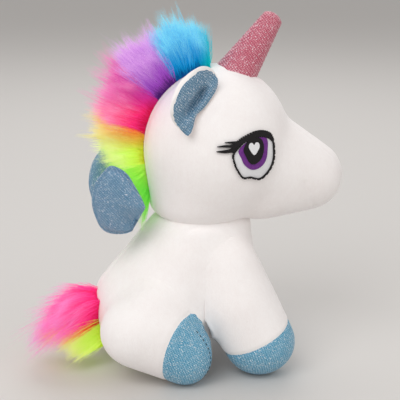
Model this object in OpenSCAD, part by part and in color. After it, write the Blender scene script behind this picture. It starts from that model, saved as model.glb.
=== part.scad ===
// Sitting plush unicorn, sewn from white short-pile plush, glitter fabric and long-pile fur.
// It faces +X and stands on Z = 0. The left half mirrors the right half about Y = 0.

/* [Head] */
// Radius of the round back of the head
head_r = 44; // [36:1:54]
// Distance of the head's centre in front of the origin
head_x = 21; // [16:1:26]
// Height of the head's centre
head_z = 128; // [122:1:140]
// Radius of the muzzle's end
muzzle_r = 20.5; // [16:0.5:26]
// Distance of the muzzle's centre in front of the head's centre
muzzle_ahead = 53.5; // [44:0.5:64]
// Distance of the muzzle's centre below the head's centre
muzzle_below = 18; // [12:1:24]
// Width of the gusset between the two head panels, as an angle about the head's long axis
gusset_angle = 26; // [16:1:40]
// Width of the narrow panel under the chin, as an angle about the head's long axis
chin_angle = 40; // [24:1:60]

/* [Horn] */
// Radius of the horn at its base
horn_r = 13; // [9:0.5:16]
// Radius of the horn's blunt tip
horn_tip_r = 5.6; // [4:0.2:7.4]
// Length of the horn from its base to its tip
horn_len = 43; // [30:1:60]
// Place of the horn on the head, as an angle in front of straight up
horn_place = 17; // [8:1:26]
// Forward lean of the horn from straight up
horn_lean = 33; // [20:1:45]

/* [Eyes] */
// Height of the white of an eye
eye_h = 25; // [18:0.5:30]
// Length of the white of an eye
eye_w = 22; // [16:0.5:26]
// Distance of an eye in front of the head's centre
eye_ahead = 17; // [12:1:28]
// Height of an eye above the head's centre
eye_above = 3; // [-8:1:8]
// Radius of an iris
iris_r = 8.5; // [6:0.25:8.75]
// Radius of a pupil
pupil_r = 5.5; // [3.5:0.25:5.75]
// Radius of the bright spot in a pupil
spot_r = 2.8; // [1.5:0.1:3]
// Width of the black line of thread round an eye
line_w = 1.2; // [0.8:0.1:2]
// Thickness of one layer of embroidery thread
thread_t = 0.5; // [0.3:0.05:0.8]

/* [Ears] */
// Length of an ear from its seam to its free edge
ear_len = 31; // [22:1:40]
// Width of an ear
ear_w = 34; // [24:1:40]
// Thickness of one layer of an ear
ear_t = 2; // [1.2:0.1:3]
// Outward lean of an ear from straight up
ear_lean = 62; // [50:1:75]
// Swing of an ear each way that its seam allows
ear_swing = 20; // [5:1:25]

/* [Mane] */
// Length of the mane's pile
mane_len = 29; // [18:1:36]
// Width of the mane's strip
mane_w = 20; // [12:1:26]
// Thickness of the mane's backing
backing_t = 1.5; // [1:0.1:2.5]

/* [Body] */
// Radius of the seat
seat_r = 36; // [30:1:40]
// How far the seat is pressed flat by its weight
seat_flat = 3; // [2:0.5:5]
// Distance of the seat's centre behind the origin
seat_back = 14; // [10:1:18]
// Radius of the neck's end, which fills the socket in the head
neck_r = 30; // [25:1:32]
// Distance of the neck's centre in front of the origin
neck_x = 13; // [9:1:17]
// Height of the neck's centre
neck_z = 74; // [70:1:80]
// Width of the belly gusset, as an angle about the body's long axis
belly_angle = 70; // [50:1:90]
// Nod of the head each way that the neck seam allows
nod_swing = 10; // [4:1:12]

/* [Front legs] */
// Radius of a shoulder
shoulder_r = 19; // [15:0.5:21]
// Distance of a shoulder in front of the origin
shoulder_x = 26; // [20:1:30]
// Distance of a shoulder from the middle
shoulder_y = 22; // [21.5:0.5:26]
// Height of a shoulder
shoulder_z = 58; // [52:1:62]
// Radius of a front hoof
front_hoof_r = 20; // [15:0.5:22]
// Distance of a front hoof in front of its shoulder
front_reach = 19; // [12:1:24]
// Distance of a front hoof outside its shoulder
front_spread = 5; // [2:1:10]
// Swing of a front leg each way that its seam allows
front_swing = 10; // [4:1:15]

/* [Hind legs] */
// Radius of a haunch
haunch_r = 23; // [18:0.5:25]
// Distance of a haunch behind the origin
haunch_back = 24; // [18:1:28]
// Distance of a haunch from the middle
haunch_y = 31; // [28:0.5:38]
// Height of a haunch
haunch_z = 31; // [27:1:36]
// Radius of a hind hoof
hind_hoof_r = 16.5; // [13:0.5:19]
// Distance of a hind hoof in front of its haunch
hind_reach = 22; // [16:1:26]
// Distance of a hind hoof outside its haunch
hind_spread = 11; // [6:1:16]
// Swing of a hind leg each way that its seam allows
hind_swing = 10; // [4:1:15]

/* [Wings] */
// Length of a wing
wing_len = 41; // [30:1:50]
// Width of a wing
wing_w = 30; // [22:1:36]
// Thickness of a padded wing
wing_t = 9; // [6:0.5:12]
// Swing of a wing each way that its seam allows
wing_swing = 20; // [5:1:25]

/* [Tail] */
// Length of the tail's pile
tail_len = 49.7; // [30:0.1:60]
// Radius of the tail where it is fullest
tail_r = 16; // [10:0.5:18]
// Radius of the tail's sewn root
tail_root_r = 8; // [5:0.5:9]
// Height of the tail's root
tail_z = 26; // [24:1:32]
// Swing of the tail each way that its seam allows
tail_swing = 20; // [5:1:25]

/* [Fabric] */
// Thickness of the plush fabric
skin_t = 1.6; // [1:0.1:2.4]
// Thickness of the glitter fabric
glitter_t = 1.2; // [0.8:0.1:2]
// Gap at a sewn seam between two pieces that move
seam_gap = 0.5; // [0.4:0.1:1]
// Gap under trim that lies on the plush
trim_gap = 0.1; // [0.05:0.05:0.3]

/* [Hidden] */
$fn = 48;

// A span larger than the whole toy, for cutting planes.
far = 400;
// Number of steps on each round end of a turned shape, which stops short of its pole in a small flat.
arc_steps = 8;
pole = 86;

head_c = [head_x, 0, head_z];
muzzle_c = head_c + [muzzle_ahead, 0, -muzzle_below];
neck_c = [neck_x, 0, neck_z];
seat_c = [-seat_back, 0, seat_r - seat_flat];

front_fall = shoulder_z - front_hoof_r + 1;
hind_fall = haunch_z - hind_hoof_r + 2;
// Share of each leg's length at which its hoof is sewn on.
front_seam_share = 0.86;
hind_seam_share = 0.66;

mane_r = head_r + trim_gap + skin_t / 4;
fur_r = mane_r + backing_t;
// Directions from the head's centre, in degrees up from +X, where each colour of the mane starts.
mane_angles = [98, 121, 139, 168, 190, 213];

function shoulder(side) = [shoulder_x, side * shoulder_y, shoulder_z];
function front_foot(side) =
    shoulder(side) + [front_reach, side * front_spread, -front_fall];
function haunch(side) = [-haunch_back, side * haunch_y, haunch_z];
function hind_foot(side) = haunch(side) + [hind_reach, side * hind_spread, -hind_fall];

// Right side of the outline of two balls and the cone between them, from pole to pole.
function capsule(r0, r1, length, inset) =
    let (lean = asin((r0 - r1) / length), a = r0 - inset, b = r1 - inset)
    concat(
        [[0, -a * sin(pole)]],
        [for (i = [0:arc_steps])
            let (t = -pole + i * (pole + lean) / arc_steps) [a * cos(t), a * sin(t)]],
        [for (i = [0:arc_steps])
            let (t = lean + i * (pole - lean) / arc_steps) [b * cos(t), length + b * sin(t)]],
        [[0, length + b * sin(pole)]]
    );

// Places a shape that stands on +Z so that it runs from one point towards another.
module along(from, to) {
    d = to - from;
    translate(from) rotate([0, acos(d[2] / norm(d)), atan2(d[1], d[0])]) children();
}

// Solid of two balls and the cone between them, or one sector of it.
module limb(from, to, r0, r1, inset = 0, start = 0, sweep = 360) {
    along(from, to) rotate([0, 0, start]) rotate_extrude(angle = sweep)
        polygon(capsule(r0, r1, norm(to - from), inset));
}

// Everything above a height.
module above(height) {
    translate([-far / 2, -far / 2, height]) cube(far);
}

// The half beyond a share of the way from one point to another.
module beyond(from, to, share) {
    along(from, to) translate([-far / 2, -far / 2, norm(to - from) * share]) cube(far);
}

// Room for a limb and its swing about its root: half a ball, then a cone that widens.
module limb_room(from, to, r, swing) {
    length = norm(to - from);
    room = r + seam_gap;
    along(from, to) rotate_extrude() polygon(concat(
        [[0, -room * sin(pole)]],
        [for (i = [0:arc_steps])
            let (t = -pole + i * pole / arc_steps) [room * cos(t), room * sin(t)]],
        [[room + length * sin(swing + 4), length], [0, length]]
    ));
}

/* ---- Head ---- */

module neck_socket() {
    translate(neck_c) sphere(neck_r + seam_gap);
}

module head_form(inset, start = 0, sweep = 360) {
    limb(head_c, muzzle_c, head_r, muzzle_r, inset, start, sweep);
}

module head_skin(start, sweep) {
    color("white") difference() {
        head_form(0, start, sweep);
        head_form(skin_t);
        neck_socket();
    }
}

module head_left_panel() {
    head_skin(chin_angle / 2, 180 - chin_angle / 2 - gusset_angle / 2);
}

module head_right_panel() {
    head_skin(180 + gusset_angle / 2, 180 - chin_angle / 2 - gusset_angle / 2);
}

module head_gusset() {
    head_skin(180 - gusset_angle / 2, gusset_angle);
}

module chin_gusset() {
    head_skin(-chin_angle / 2, chin_angle);
}

module head_stuffing() {
    color("ghostwhite") difference() {
        head_form(skin_t);
        neck_socket();
    }
}

/* ---- Eyes ---- */

// One layer of thread on the side of the head, cut to the outline that is given.
module eye_layer(side, level) {
    lift = trim_gap + level * thread_t;
    intersection() {
        difference() {
            head_form(-lift - thread_t * 0.9);
            head_form(-lift);
        }
        translate([head_x + eye_ahead, 0, head_z + eye_above])
            rotate([90, 0, side > 0 ? 180 : 0]) mirror([side > 0 ? 1 : 0, 0, 0])
                linear_extrude(head_r + far / 4) children();
    }
}

module eye_outline(grow) {
    intersection() {
        translate([0, eye_h * 0.1]) circle(eye_h * 0.6 + grow);
        translate([eye_w * 0.1, 0]) circle(eye_w * 0.6 + grow);
        translate([-eye_w * 0.1, 0]) circle(eye_w * 0.6 + grow);
    }
}

module eye_white(side) {
    color("snow") eye_layer(side, 0) eye_outline(0);
}

module eye_iris(side) {
    color("purple") eye_layer(side, 1) circle(iris_r);
}

module eye_pupil(side) {
    color("black") eye_layer(side, 2) circle(pupil_r);
}

module eye_spot(side) {
    color("white") eye_layer(side, 3) circle(spot_r);
}

// The black line round the white, with three lashes at its rear corner.
module eye_line(side) {
    color("black") eye_layer(side, 0) difference() {
        union() {
            eye_outline(line_w);
            for (i = [0:2])
                translate([-eye_w * 0.3, eye_h * (0.1 + 0.12 * i)]) rotate(170 - 12 * i)
                    translate([0, -line_w / 2]) square([eye_w * 0.6, line_w]);
        }
        eye_outline(0.05);
    }
}

/* ---- Horn ---- */

horn_out = [sin(horn_place), 0, cos(horn_place)];
horn_base = head_c + horn_out * head_r * cos(asin(horn_r / head_r));
horn_dir = [sin(horn_lean), 0, cos(horn_lean)];

module horn_form(inset) {
    length = horn_len - horn_tip_r;
    difference() {
        along(horn_base, horn_base + horn_dir) rotate_extrude() polygon(concat(
            [[0, -horn_r], [horn_r - inset, -horn_r]],
            [for (i = [0:arc_steps])
                let (t = i * pole / arc_steps, r = horn_tip_r - inset)
                    [r * cos(t), length + r * sin(t)]],
            [[0, length + (horn_tip_r - inset) * sin(pole)]]
        ));
        translate(head_c) sphere(head_r + trim_gap);
    }
}

module horn_skin() {
    color("palevioletred") difference() {
        horn_form(0);
        horn_form(glitter_t);
    }
}

module horn_stuffing() {
    color("mistyrose") horn_form(glitter_t + 0.02);
}

/* ---- Ears ---- */

// Direction from the head's centre to the middle of an ear's seam.
ear_out = [-0.27, 0.68, 0.68];

// Places a flat layer with its seam on the head, and its free edge up and outwards.
module ear_layer(side, level) {
    root = head_c + [ear_out[0], side * ear_out[1], ear_out[2]] * (head_r + seam_gap + 3);
    translate(root) mirror([0, side > 0 ? 0 : 1, 0]) rotate([-ear_lean + 30, -35, 20])
        translate([0, level * ear_t, 0]) rotate([90, 0, 0]) linear_extrude(ear_t - 0.02)
            intersection() {
                translate([ear_w / 2 - ear_len * 0.75, ear_len * 0.5]) circle(ear_len * 0.75);
                translate([ear_len * 0.75 - ear_w / 2, ear_len * 0.5]) circle(ear_len * 0.75);
                translate([-far / 2, 0]) square(far);
            }
}

module ear_back(side) {
    color("white") ear_layer(side, 1);
}

module ear_lining(side) {
    color("lightsteelblue") ear_layer(side, 2);
}

/* ---- Mane ---- */

// A sector of the strip that runs over the head from behind the horn to the nape.
module mane_sector(inner, outer, from, to, width) {
    translate(head_c) rotate([90, 0, 0]) rotate([0, 0, from]) rotate_extrude(angle = to - from)
        polygon([[inner, -width / 2], [outer, -width / 2], [outer, width / 2], [inner, width / 2]]);
}

module mane_backing() {
    color("dimgray") mane_sector(mane_r, fur_r - 0.05, mane_angles[0], mane_angles[5], mane_w);
}

module mane_fur(i, shade) {
    color(shade)
        mane_sector(fur_r, fur_r + mane_len, mane_angles[i], mane_angles[i + 1] - 0.1, mane_w);
}

/* ---- Body ---- */

module tail_room() {
    translate([tail_x, 0, tail_z]) sphere(tail_root_r + seam_gap);
}

module body_form(inset, start = 0, sweep = 360) {
    intersection() {
        limb(seat_c, neck_c, seat_r, neck_r, inset, start, sweep);
        above(inset);
    }
}

module limbs_room() {
    for (side = [-1, 1]) {
        limb_room(shoulder(side), front_foot(side), shoulder_r, front_swing);
        limb_room(haunch(side), hind_foot(side), haunch_r, hind_swing);
    }
    tail_room();
}

module body_skin(start, sweep) {
    color("white") difference() {
        body_form(0, start, sweep);
        body_form(skin_t);
        limbs_room();
    }
}

module body_right_panel() {
    body_skin(180, 180 - belly_angle / 2);
}

module body_left_panel() {
    mirror([0, 1, 0]) body_right_panel();
}

module belly_gusset() {
    body_skin(-belly_angle / 2, belly_angle);
}

module body_stuffing() {
    color("ghostwhite") difference() {
        body_form(skin_t);
        limbs_room();
    }
}

/* ---- Legs ---- */

module leg_form(from, to, r0, r1, inset) {
    intersection() {
        limb(from, to, r0, r1, inset, 90);
        above(inset);
    }
}

// White sleeve of a leg, from its root to the seam of the hoof.
module leg_skin(from, to, r0, r1, share) {
    color("white") difference() {
        leg_form(from, to, r0, r1, 0);
        leg_form(from, to, r0, r1, skin_t);
        beyond(from, to, share);
    }
}

module leg_stuffing(from, to, r0, r1) {
    color("ghostwhite") leg_form(from, to, r0, r1, skin_t);
}

// One of the two mirrored panels of a hoof, on the outer or the inner side of the leg.
module hoof_panel(from, to, r0, r1, share, start) {
    color("deepskyblue") intersection() {
        difference() {
            leg_form(from, to, r0, r1, 0);
            leg_form(from, to, r0, r1, skin_t);
        }
        beyond(from, to, share);
        along(from, to) rotate([0, 0, start]) translate([-far / 2, 0, -far / 2]) cube(far);
    }
}

/* ---- Wings ---- */

wing_root = [-26, 21, 88];
// Direction in which a wing stands out from its root.
wing_out = [-0.52, 0.42, 0.55];

module wing_outline(inset) {
    hull() {
        translate([0, wing_w * 0.2]) circle(wing_w * 0.2 - inset, $fn = 24);
        translate([0, wing_len - wing_w / 2]) circle(wing_w / 2 - inset, $fn = 24);
    }
}

// A flat layer of a wing, counted outwards from its inner face.
module wing_layer(side, low, high, inset) {
    mirror([0, side > 0 ? 0 : 1, 0]) translate(wing_root) rotate([-28, -38, 0])
        translate([0, high, 0]) rotate([90, 0, 0]) linear_extrude(high - low) wing_outline(inset);
}

module wing_outer(side) {
    color("steelblue") difference() {
        wing_layer(side, wing_t / 2, wing_t, 0);
        wing_layer(side, wing_t / 2 - 1, wing_t - glitter_t, glitter_t);
    }
}

module wing_inner(side) {
    color("steelblue") difference() {
        wing_layer(side, 0, wing_t / 2, 0);
        wing_layer(side, glitter_t, wing_t / 2 + 1, glitter_t);
    }
}

module wing_padding(side) {
    color("ghostwhite") wing_layer(side, glitter_t, wing_t - glitter_t, glitter_t);
}

/* ---- Tail ---- */

tail_x = -seat_back - sqrt(pow(seat_r, 2) - pow(tail_z - seat_c[2], 2)) + tail_root_r / 2;

// A sector of the tail's pile, about an axis that runs backwards from its root.
module tail_sector(start, sweep) {
    translate([tail_x, 0, tail_z]) rotate([0, -90, 0]) rotate([0, 0, start])
        rotate_extrude(angle = sweep) polygon([
            [0, tail_root_r + 0.05],
            [tail_root_r, tail_root_r + 0.05],
            [tail_r * 0.8, tail_len * 0.35],
            [tail_r, tail_len * 0.55],
            [tail_r * 0.6, tail_len * 0.8],
            [1, tail_len],
            [0, tail_len]
        ]);
}

module tail_backing() {
    color("white") translate([tail_x, 0, tail_z]) intersection() {
        sphere(tail_root_r);
        rotate([0, -90, 0]) translate([-far / 2, -far / 2, -tail_root_r]) cube([far, far, tail_root_r * 2]);
    }
}

module tail_fur(start, sweep, shade) {
    color(shade) tail_sector(start, sweep);
}

head_left_panel();
head_right_panel();
head_gusset();
chin_gusset();
head_stuffing();
eye_white(1);  // eye_white_left
eye_iris(1);  // eye_iris_left
eye_pupil(1);  // eye_pupil_left
eye_spot(1);  // eye_spot_left
eye_line(1);  // eye_line_left
eye_white(-1);  // eye_white_right
eye_iris(-1);  // eye_iris_right
eye_pupil(-1);  // eye_pupil_right
eye_spot(-1);  // eye_spot_right
eye_line(-1);  // eye_line_right
horn_skin();
horn_stuffing();
ear_back(1);  // ear_back_left
ear_lining(1);  // ear_lining_left
ear_back(-1);  // ear_back_right
ear_lining(-1);  // ear_lining_right
mane_backing();
mane_fur(0, "deepskyblue");  // mane_blue
mane_fur(1, "mediumorchid");  // mane_purple
mane_fur(2, "hotpink");  // mane_pink
mane_fur(3, "yellow");  // mane_yellow
mane_fur(4, "limegreen");  // mane_green
body_left_panel();
body_right_panel();
belly_gusset();
body_stuffing();
wing_outer(1);  // wing_outer_left
wing_inner(1);  // wing_inner_left
wing_padding(1);  // wing_padding_left
wing_outer(-1);  // wing_outer_right
wing_inner(-1);  // wing_inner_right
wing_padding(-1);  // wing_padding_right
for (side = [-1, 1]) {
    end = side > 0 ? "left" : "right";
    f = [shoulder(side), front_foot(side), shoulder_r, front_hoof_r];
    h = [haunch(side), hind_foot(side), haunch_r, hind_hoof_r];
    outer = side > 0 ? 0 : 180;
    leg_skin(f[0], f[1], f[2], f[3], front_seam_share);
    leg_stuffing(f[0], f[1], f[2], f[3]);
    hoof_panel(f[0], f[1], f[2], f[3], front_seam_share, outer);
    hoof_panel(f[0], f[1], f[2], f[3], front_seam_share, outer + 180);
    leg_skin(h[0], h[1], h[2], h[3], hind_seam_share);
    leg_stuffing(h[0], h[1], h[2], h[3]);
    hoof_panel(h[0], h[1], h[2], h[3], hind_seam_share, outer);
    hoof_panel(h[0], h[1], h[2], h[3], hind_seam_share, outer + 180);
}
tail_backing();
tail_fur(-70, 180, "deeppink");  // tail_pink
tail_fur(110, 70, "gold");  // tail_yellow
tail_fur(180, 110, "yellowgreen");  // tail_green
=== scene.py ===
"""A sitting plush unicorn, sewn and stuffed, with a fur mane and tail.

Lengths are in millimetres, turned to metres by MM.
"""

import math

import bpy
import numpy as np
from mathutils import Matrix, Vector
from mathutils.bvhtree import BVHTree


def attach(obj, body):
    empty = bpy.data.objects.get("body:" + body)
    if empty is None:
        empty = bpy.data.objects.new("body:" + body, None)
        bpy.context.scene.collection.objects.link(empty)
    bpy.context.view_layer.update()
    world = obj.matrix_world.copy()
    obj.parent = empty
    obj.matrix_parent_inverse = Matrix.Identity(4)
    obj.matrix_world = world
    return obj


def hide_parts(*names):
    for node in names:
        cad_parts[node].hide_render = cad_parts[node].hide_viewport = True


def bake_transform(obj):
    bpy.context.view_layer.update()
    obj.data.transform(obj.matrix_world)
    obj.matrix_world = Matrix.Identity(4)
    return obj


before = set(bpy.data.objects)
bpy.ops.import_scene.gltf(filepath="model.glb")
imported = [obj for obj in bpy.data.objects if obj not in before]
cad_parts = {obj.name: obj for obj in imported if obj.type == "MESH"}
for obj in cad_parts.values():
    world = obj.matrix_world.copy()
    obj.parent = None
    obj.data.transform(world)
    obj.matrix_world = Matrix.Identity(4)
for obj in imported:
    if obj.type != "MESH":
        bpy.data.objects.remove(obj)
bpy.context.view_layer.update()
MM = 0.001
SIDES = (("left", 1), ("right", -1))

# ---- Studio ----
# A long lens looks at the toy's right side from a little behind and above. Two large soft lamps and a
# bright room light a plain pale floor.
CAMERA_TURN, CAMERA_RISE = math.radians(-8), math.radians(16)
CAMERA_AWAY, CAMERA_AIM = 0.640, Vector((0.012, 0, 0.097))
towards = Vector((
    math.sin(CAMERA_TURN) * math.cos(CAMERA_RISE),
    -math.cos(CAMERA_TURN) * math.cos(CAMERA_RISE),
    math.sin(CAMERA_RISE),
))
bpy.ops.object.camera_add(
    location=CAMERA_AIM + towards * CAMERA_AWAY,
    rotation=towards.to_track_quat("Z", "Y").to_euler(),
)
bpy.context.scene.camera = bpy.context.object
bpy.context.object.data.lens = 100
bpy.context.object.data.sensor_width = 36

for place, size, power in (
    ((-0.55, -0.75, 0.95), 0.9, 8.0),
    ((0.75, -0.55, 0.60), 0.8, 1.6),
    ((0.10, 0.70, 0.90), 0.9, 4.0),
):
    spot = Vector(place)
    bpy.ops.object.light_add(
        type="AREA", location=spot, rotation=(spot - CAMERA_AIM).to_track_quat("Z", "Y").to_euler()
    )
    bpy.context.object.data.size = size
    bpy.context.object.data.energy = power

room = bpy.data.worlds.new("bright_room")
bpy.context.scene.world = room
room.use_nodes = True
room.node_tree.nodes["Background"].inputs["Color"].default_value = (1.0, 0.98, 0.965, 1)
room.node_tree.nodes["Background"].inputs["Strength"].default_value = 0.55
bpy.context.scene.view_settings.view_transform = "Standard"

bpy.ops.mesh.primitive_plane_add(size=8)
floor = bpy.context.object
floor.name = "floor"
floor.data.materials.append(bpy.data.materials.new("pale_floor"))
floor.active_material.use_nodes = True
paper = floor.active_material.node_tree.nodes["Principled BSDF"]
paper.inputs["Base Color"].default_value = (0.62, 0.60, 0.58, 1)
paper.inputs["Roughness"].default_value = 0.7

# ---- Body ----
# The body is two side panels and a belly gusset of white short-pile plush, sewn inside out, turned, and
# stuffed tight through the neck with loose polyester fibre. Its weight presses the seat flat.
PLUSH_T = 1.2
SEAM_DEEP, SEAM_WIDE = 0.7, 1.1
FLOOR_GAP = 0.25
BELLY_HALF = 24


def alone(thing):
    """Makes one object the selected and active one."""
    bpy.ops.object.select_all(action="DESELECT")
    thing.select_set(True)
    bpy.context.view_layer.objects.active = thing


def modify(thing, kind, **settings):
    """Adds a modifier with these settings and applies it."""
    alone(thing)
    mod = thing.modifiers.new(kind.lower(), kind)
    for key, value in settings.items():
        setattr(mod, key, value)
    bpy.ops.object.modifier_apply(modifier=mod.name)


def points(thing):
    """The object's vertices as rows of x, y, z in millimetres."""
    co = np.empty(len(thing.data.vertices) * 3)
    thing.data.vertices.foreach_get("co", co)
    return co.reshape(-1, 3) / MM


def move_points(thing, co):
    thing.data.vertices.foreach_set("co", (co * MM).ravel())
    thing.data.update()


def directions(thing):
    """The outward normal at each vertex."""
    co = np.empty(len(thing.data.vertices) * 3)
    thing.data.vertex_normals.foreach_get("vector", co)
    return co.reshape(-1, 3)


def ball(centre, radii):
    bpy.ops.mesh.primitive_uv_sphere_add(segments=40, ring_count=24, radius=1)
    thing = bpy.context.object
    move_points(thing, points(thing) * MM * np.array(radii) + np.array(centre))
    return thing


def stuffed_form(name, lumps, cell, rounds):
    """Runs groups of balls together into one smooth closed form. The balls of a group share one taut skin."""
    groups = []
    for lump in lumps:
        balls = [ball(*b) for b in lump]
        bpy.ops.object.select_all(action="DESELECT")
        for b in balls:
            b.select_set(True)
        bpy.context.view_layer.objects.active = balls[0]
        bpy.ops.object.join()
        bpy.ops.object.mode_set(mode="EDIT")
        bpy.ops.mesh.select_all(action="SELECT")
        bpy.ops.mesh.convex_hull()
        bpy.ops.object.mode_set(mode="OBJECT")
        groups.append(balls[0])
    bpy.ops.object.select_all(action="DESELECT")
    for g in groups:
        g.select_set(True)
    bpy.context.view_layer.objects.active = groups[0]
    if len(groups) > 1:
        bpy.ops.object.join()
    form = groups[0]
    form.name = name
    modify(form, "REMESH", mode="VOXEL", voxel_size=cell * MM)
    modify(form, "SMOOTH", factor=0.5, iterations=rounds)
    return form


def inflate(form, sewn, pressure=3.0, most=2.0):
    """Blows the skin up against its sewn seams, as the stuffing does, by at most a few millimetres."""
    before = points(form)
    held = form.vertex_groups.new(name="sewn")
    held.add([int(i) for i in np.flatnonzero(sewn)], 1.0, "REPLACE")
    alone(form)
    cloth = form.modifiers.new("cloth", "CLOTH")
    cloth.settings.quality = 5
    cloth.settings.mass = 0.15
    cloth.settings.tension_stiffness = 25
    cloth.settings.compression_stiffness = 25
    cloth.settings.bending_stiffness = 0.6
    cloth.settings.use_pressure = True
    cloth.settings.uniform_pressure_force = pressure
    cloth.settings.effector_weights.gravity = 0
    cloth.settings.vertex_group_mass = "sewn"
    cloth.collision_settings.use_collision = False
    for step in range(1, 21):
        bpy.context.scene.frame_set(step)
    bpy.ops.object.modifier_apply(modifier="cloth")
    bpy.context.scene.frame_set(1)
    shift = points(form) - before
    size = np.linalg.norm(shift, axis=1, keepdims=True)
    move_points(form, before + shift * np.minimum(1, most / np.maximum(size, 1e-6)))
    form.vertex_groups.clear()


def press_flat(form, height=FLOOR_GAP):
    co = points(form)
    low = co[:, 2] < height
    co[low, 2] = height
    move_points(form, co)


def sink_seam(form, distance, deep=SEAM_DEEP, wide=SEAM_WIDE):
    """Draws the skin in along a seam. distance is each vertex's distance from the seam."""
    pull = deep * np.exp(-((distance / wide) ** 2))
    move_points(form, points(form) - directions(form) * pull[:, None])


def panel(form, name, cuts, thick=PLUSH_T):
    """The part of a skin on the far side of each cut, as fabric. A cut is a point and a direction."""
    alone(form)
    bpy.ops.object.duplicate()
    piece = bpy.context.object
    piece.name = name + "_fabric"
    bpy.ops.object.mode_set(mode="EDIT")
    for at, way in cuts:
        bpy.ops.mesh.select_all(action="SELECT")
        bpy.ops.mesh.bisect(plane_co=[x * MM for x in at], plane_no=way, clear_inner=True)
    bpy.ops.object.mode_set(mode="OBJECT")
    modify(piece, "SOLIDIFY", thickness=thick * MM, offset=-1, use_rim=True)
    alone(piece)
    bpy.ops.object.shade_smooth_by_angle(angle=math.radians(50))
    return piece


def filling(form, name, inset):
    """The lump of stuffing inside a skin."""
    alone(form)
    bpy.ops.object.duplicate()
    lump = bpy.context.object
    lump.name = name + "_fibre"
    move_points(lump, points(lump) - directions(lump) * inset)
    modify(lump, "REMESH", mode="VOXEL", voxel_size=3 * MM)
    modify(lump, "SMOOTH", factor=0.5, iterations=4)
    co = points(lump)
    co[:, 2] = np.maximum(co[:, 2], FLOOR_GAP + inset)
    move_points(lump, co)
    bpy.ops.object.shade_smooth()
    return lump


def node(tree, kind, sockets=None, **settings):
    """Adds a shader node, sets its options, and sets or joins its inputs."""
    n = tree.nodes.new(kind)
    for key, value in settings.items():
        setattr(n, key, value)
    for key, value in (sockets or {}).items():
        if isinstance(value, bpy.types.NodeSocket):
            tree.links.new(value, n.inputs[key])
        else:
            n.inputs[key].default_value = value
    return n


def group_tree(name, inputs, outputs):
    """A shader node group with its named inputs and outputs."""
    tree = bpy.data.node_groups.new(name, "ShaderNodeTree")
    for label, kind, value in inputs:
        socket = tree.interface.new_socket(label, in_out="INPUT", socket_type=kind)
        socket.default_value = value
    for label, kind in outputs:
        tree.interface.new_socket(label, in_out="OUTPUT", socket_type=kind)
    return tree, tree.nodes.new("NodeGroupInput"), tree.nodes.new("NodeGroupOutput")


def pile_group():
    """Short plush pile: fine nap, and broad patches where the pile has been stroked another way."""
    tree, get, put = group_tree(
        "plush_pile",
        [("Nap size", "NodeSocketFloat", 1500.0)],
        [("Shade", "NodeSocketFloat"), ("Height", "NodeSocketFloat")],
    )
    place = node(tree, "ShaderNodeTexCoord").outputs["Object"]
    lean = node(tree, "ShaderNodeMapping", {"Vector": place, "Scale": (1, 1, 0.45)})
    nap = node(
        tree, "ShaderNodeTexNoise", {"Vector": lean.outputs[0], "Scale": get.outputs[0], "Detail": 3.0}
    )
    tuft = node(tree, "ShaderNodeTexNoise", {"Vector": lean.outputs[0], "Scale": 420.0, "Detail": 4.0})
    stroke = node(tree, "ShaderNodeTexNoise", {"Vector": place, "Scale": 38.0, "Detail": 2.0})
    both = node(tree, "ShaderNodeMath", {0: nap.outputs[0], 1: tuft.outputs[0]}, operation="ADD")
    half = node(tree, "ShaderNodeMath", {0: both.outputs[0], 1: 0.5}, operation="MULTIPLY")
    shade = node(
        tree, "ShaderNodeMapRange",
        {"Value": stroke.outputs[0], "From Min": 0.3, "From Max": 0.7, "To Min": -0.16, "To Max": 0.16},
    )
    total = node(
        tree, "ShaderNodeMath", {0: half.outputs[0], 1: shade.outputs[0]}, operation="ADD", use_clamp=True
    )
    tree.links.new(total.outputs[0], put.inputs["Shade"])
    tree.links.new(half.outputs[0], put.inputs["Height"])
    return tree


PILE = pile_group()


def base_material(name):
    made = bpy.data.materials.new(name)
    made.use_nodes = True
    return made, made.node_tree, made.node_tree.nodes["Principled BSDF"]


def plush_material(name, shade, light):
    made, tree, skin = base_material(name)
    pile = node(tree, "ShaderNodeGroup", node_tree=PILE)
    tint = node(
        tree, "ShaderNodeMix", {"Factor": pile.outputs["Shade"], 6: shade, 7: light}, data_type="RGBA"
    )
    bump = node(
        tree, "ShaderNodeBump", {"Height": pile.outputs["Height"], "Strength": 0.5, "Distance": 0.5 * MM}
    )
    tree.links.new(tint.outputs[2], skin.inputs["Base Color"])
    tree.links.new(bump.outputs[0], skin.inputs["Normal"])
    skin.inputs["Roughness"].default_value = 0.88
    skin.inputs["Specular IOR Level"].default_value = 0.25
    skin.inputs["Sheen Weight"].default_value = 0.25
    skin.inputs["Sheen Roughness"].default_value = 0.45
    return made


WHITE_PLUSH = plush_material("white_plush", (0.86, 0.805, 0.79, 1), (0.95, 0.925, 0.915, 1))
FIBRE = plush_material("stuffing_fibre", (0.78, 0.78, 0.77, 1), (0.92, 0.92, 0.91, 1))


def dress(piece, material, body, slot, *nodes):
    """Gives a piece its material and the body it rides on, and hides the CAD nodes it stands for. The slot is
    not used.
    """
    piece.data.materials.clear()
    piece.data.materials.append(material)
    if body:
        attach(piece, body)
    if nodes:
        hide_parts(*nodes)
    return piece


BODY_LUMPS = [
    [((-13, 0, 34), (37, 38, 36)), ((6, 0, 66), (33, 31, 22)), ((12, 0, 84), (30, 27, 11))],
    [((8, 0, 56), (36, 28, 26)), ((14, 0, 74), (29, 26, 14))],
]
FRONT_LUMPS = [
    ((25, 19, 61), (19, 15.5, 20)), ((31, 25, 40), (22, 18.5, 19)), ((42.5, 28, 19.5), (20.8, 18.5, 19.5))
]
HIND_LUMPS = [
    ((-23.5, 29, 30), (25.5, 20.5, 22)), ((-17, 23, 41), (18, 21, 20)), ((-13, 32, 26), (21, 18.5, 22)),
    ((-1.5, 37.5, 17), (15.5, 14, 17)),
]


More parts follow.
